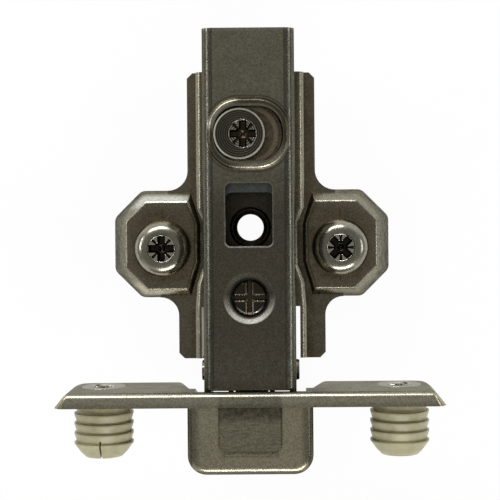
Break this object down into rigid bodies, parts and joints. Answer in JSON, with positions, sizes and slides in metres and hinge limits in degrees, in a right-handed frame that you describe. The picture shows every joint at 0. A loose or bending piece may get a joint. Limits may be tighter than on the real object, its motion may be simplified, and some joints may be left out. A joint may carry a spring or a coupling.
{
  "type": "concealed cup hinge",
  "caption": "Concealed door hinge: four-bar arm with adjusting screws on a cross mounting plate, narrow pressed cup with ears and press-in dowels.",
  "frame": {"origin": "midway between the two plate screws, on the plate's underside", "axes": "+Z away from the cabinet side, +Y towards the back of the cabinet along the arm, +X along the door's edge; closed position"},
  "size_m": [0.0666, 0.0759, 0.0319],
  "materials": {
    "plated_steel": "nickel plated pressed sheet, satin",
    "cup_steel": "nickel plated pressed sheet, satin",
    "inner_steel": "zinc plated sheet, bluish grey",
    "screw_steel": "zinc plated, semi-bright",
    "pin_steel": "bright drawn steel",
    "spring_steel": "drawn spring wire, dark",
    "dowel_nylon": "moulded ivory nylon"
  },
  "bodies": {
    "plate": {"mounting_plate": "plated_steel", "wing_screw_left": "screw_steel", "wing_screw_right": "screw_steel"},
    "cam": {"cam_screw": "screw_steel", "cam_washer": "screw_steel"},
    "slider": {"carrier": "inner_steel"},
    "hinge_arm": {"arm": "plated_steel", "arm_pin_outer": "pin_steel", "arm_pin_inner": "pin_steel", "closing_spring": "spring_steel"},
    "side_adjuster": {"side_screw": "screw_steel"},
    "long_link": {"outer_link": "inner_steel"},
    "cup": {"hinge_cup": "cup_steel", "cup_pin_outer": "pin_steel", "cup_pin_inner": "pin_steel", "dowel_left": "dowel_nylon", "dowel_right": "dowel_nylon", "dowel_screw_left": "screw_steel", "dowel_screw_right": "screw_steel"},
    "short_link": {"inner_link": "inner_steel"}
  },
  "joints": [
    {"name": "depth_slide", "type": "slide", "parent": "plate", "child": "slider", "axis": [0, 1, 0], "range_m": [-0.0014, 0.0014]},
    {"name": "cam_turn", "type": "hinge", "parent": "plate", "child": "cam", "pos_m": [0, 0.01976, 0.0122], "axis": [0, 0, 1], "range_deg": [-71, 71]},
    {"name": "side_tilt", "type": "hinge", "parent": "slider", "child": "hinge_arm", "pos_m": [0, 0.033, 0.0107], "axis": [1, 0, 0], "range_deg": [-1.5, 1.5]},
    {"name": "side_screw_turn", "type": "hinge", "parent": "slider", "child": "side_adjuster", "pos_m": [0, -0.00815, 0.0125], "axis": [0, 0, 1], "range_deg": [-390, 390]},
    {"name": "long_link_swing", "type": "hinge", "parent": "hinge_arm", "child": "long_link", "pos_m": [0, -0.0335, 0.0129], "axis": [1, 0, 0], "range_deg": [-34.5, 0]},
    {"name": "cup_swing", "type": "hinge", "parent": "long_link", "child": "cup", "pos_m": [0, -0.0324, -0.0026], "axis": [1, 0, 0], "range_deg": [0, 124.25], "stiffness_Nm_per_rad": 0.12, "springref_deg": -28.65},
    {"name": "short_link_swing", "type": "hinge", "parent": "cup", "child": "short_link", "pos_m": [0, -0.0302, -0.0058], "axis": [1, 0, 0], "range_deg": [-121, 0]}
  ],
  "couplings": [
    {"joint": "cam_turn", "follows": "depth_slide", "rad_per_m": -872.66},
    {"joint": "side_screw_turn", "follows": "side_tilt", "ratio": 258.55},
    {"joint": "long_link_swing", "follows": "cup_swing", "ratio": -0.27565},
    {"joint": "short_link_swing", "follows": "cup_swing", "ratio": -0.97183}
  ]
}
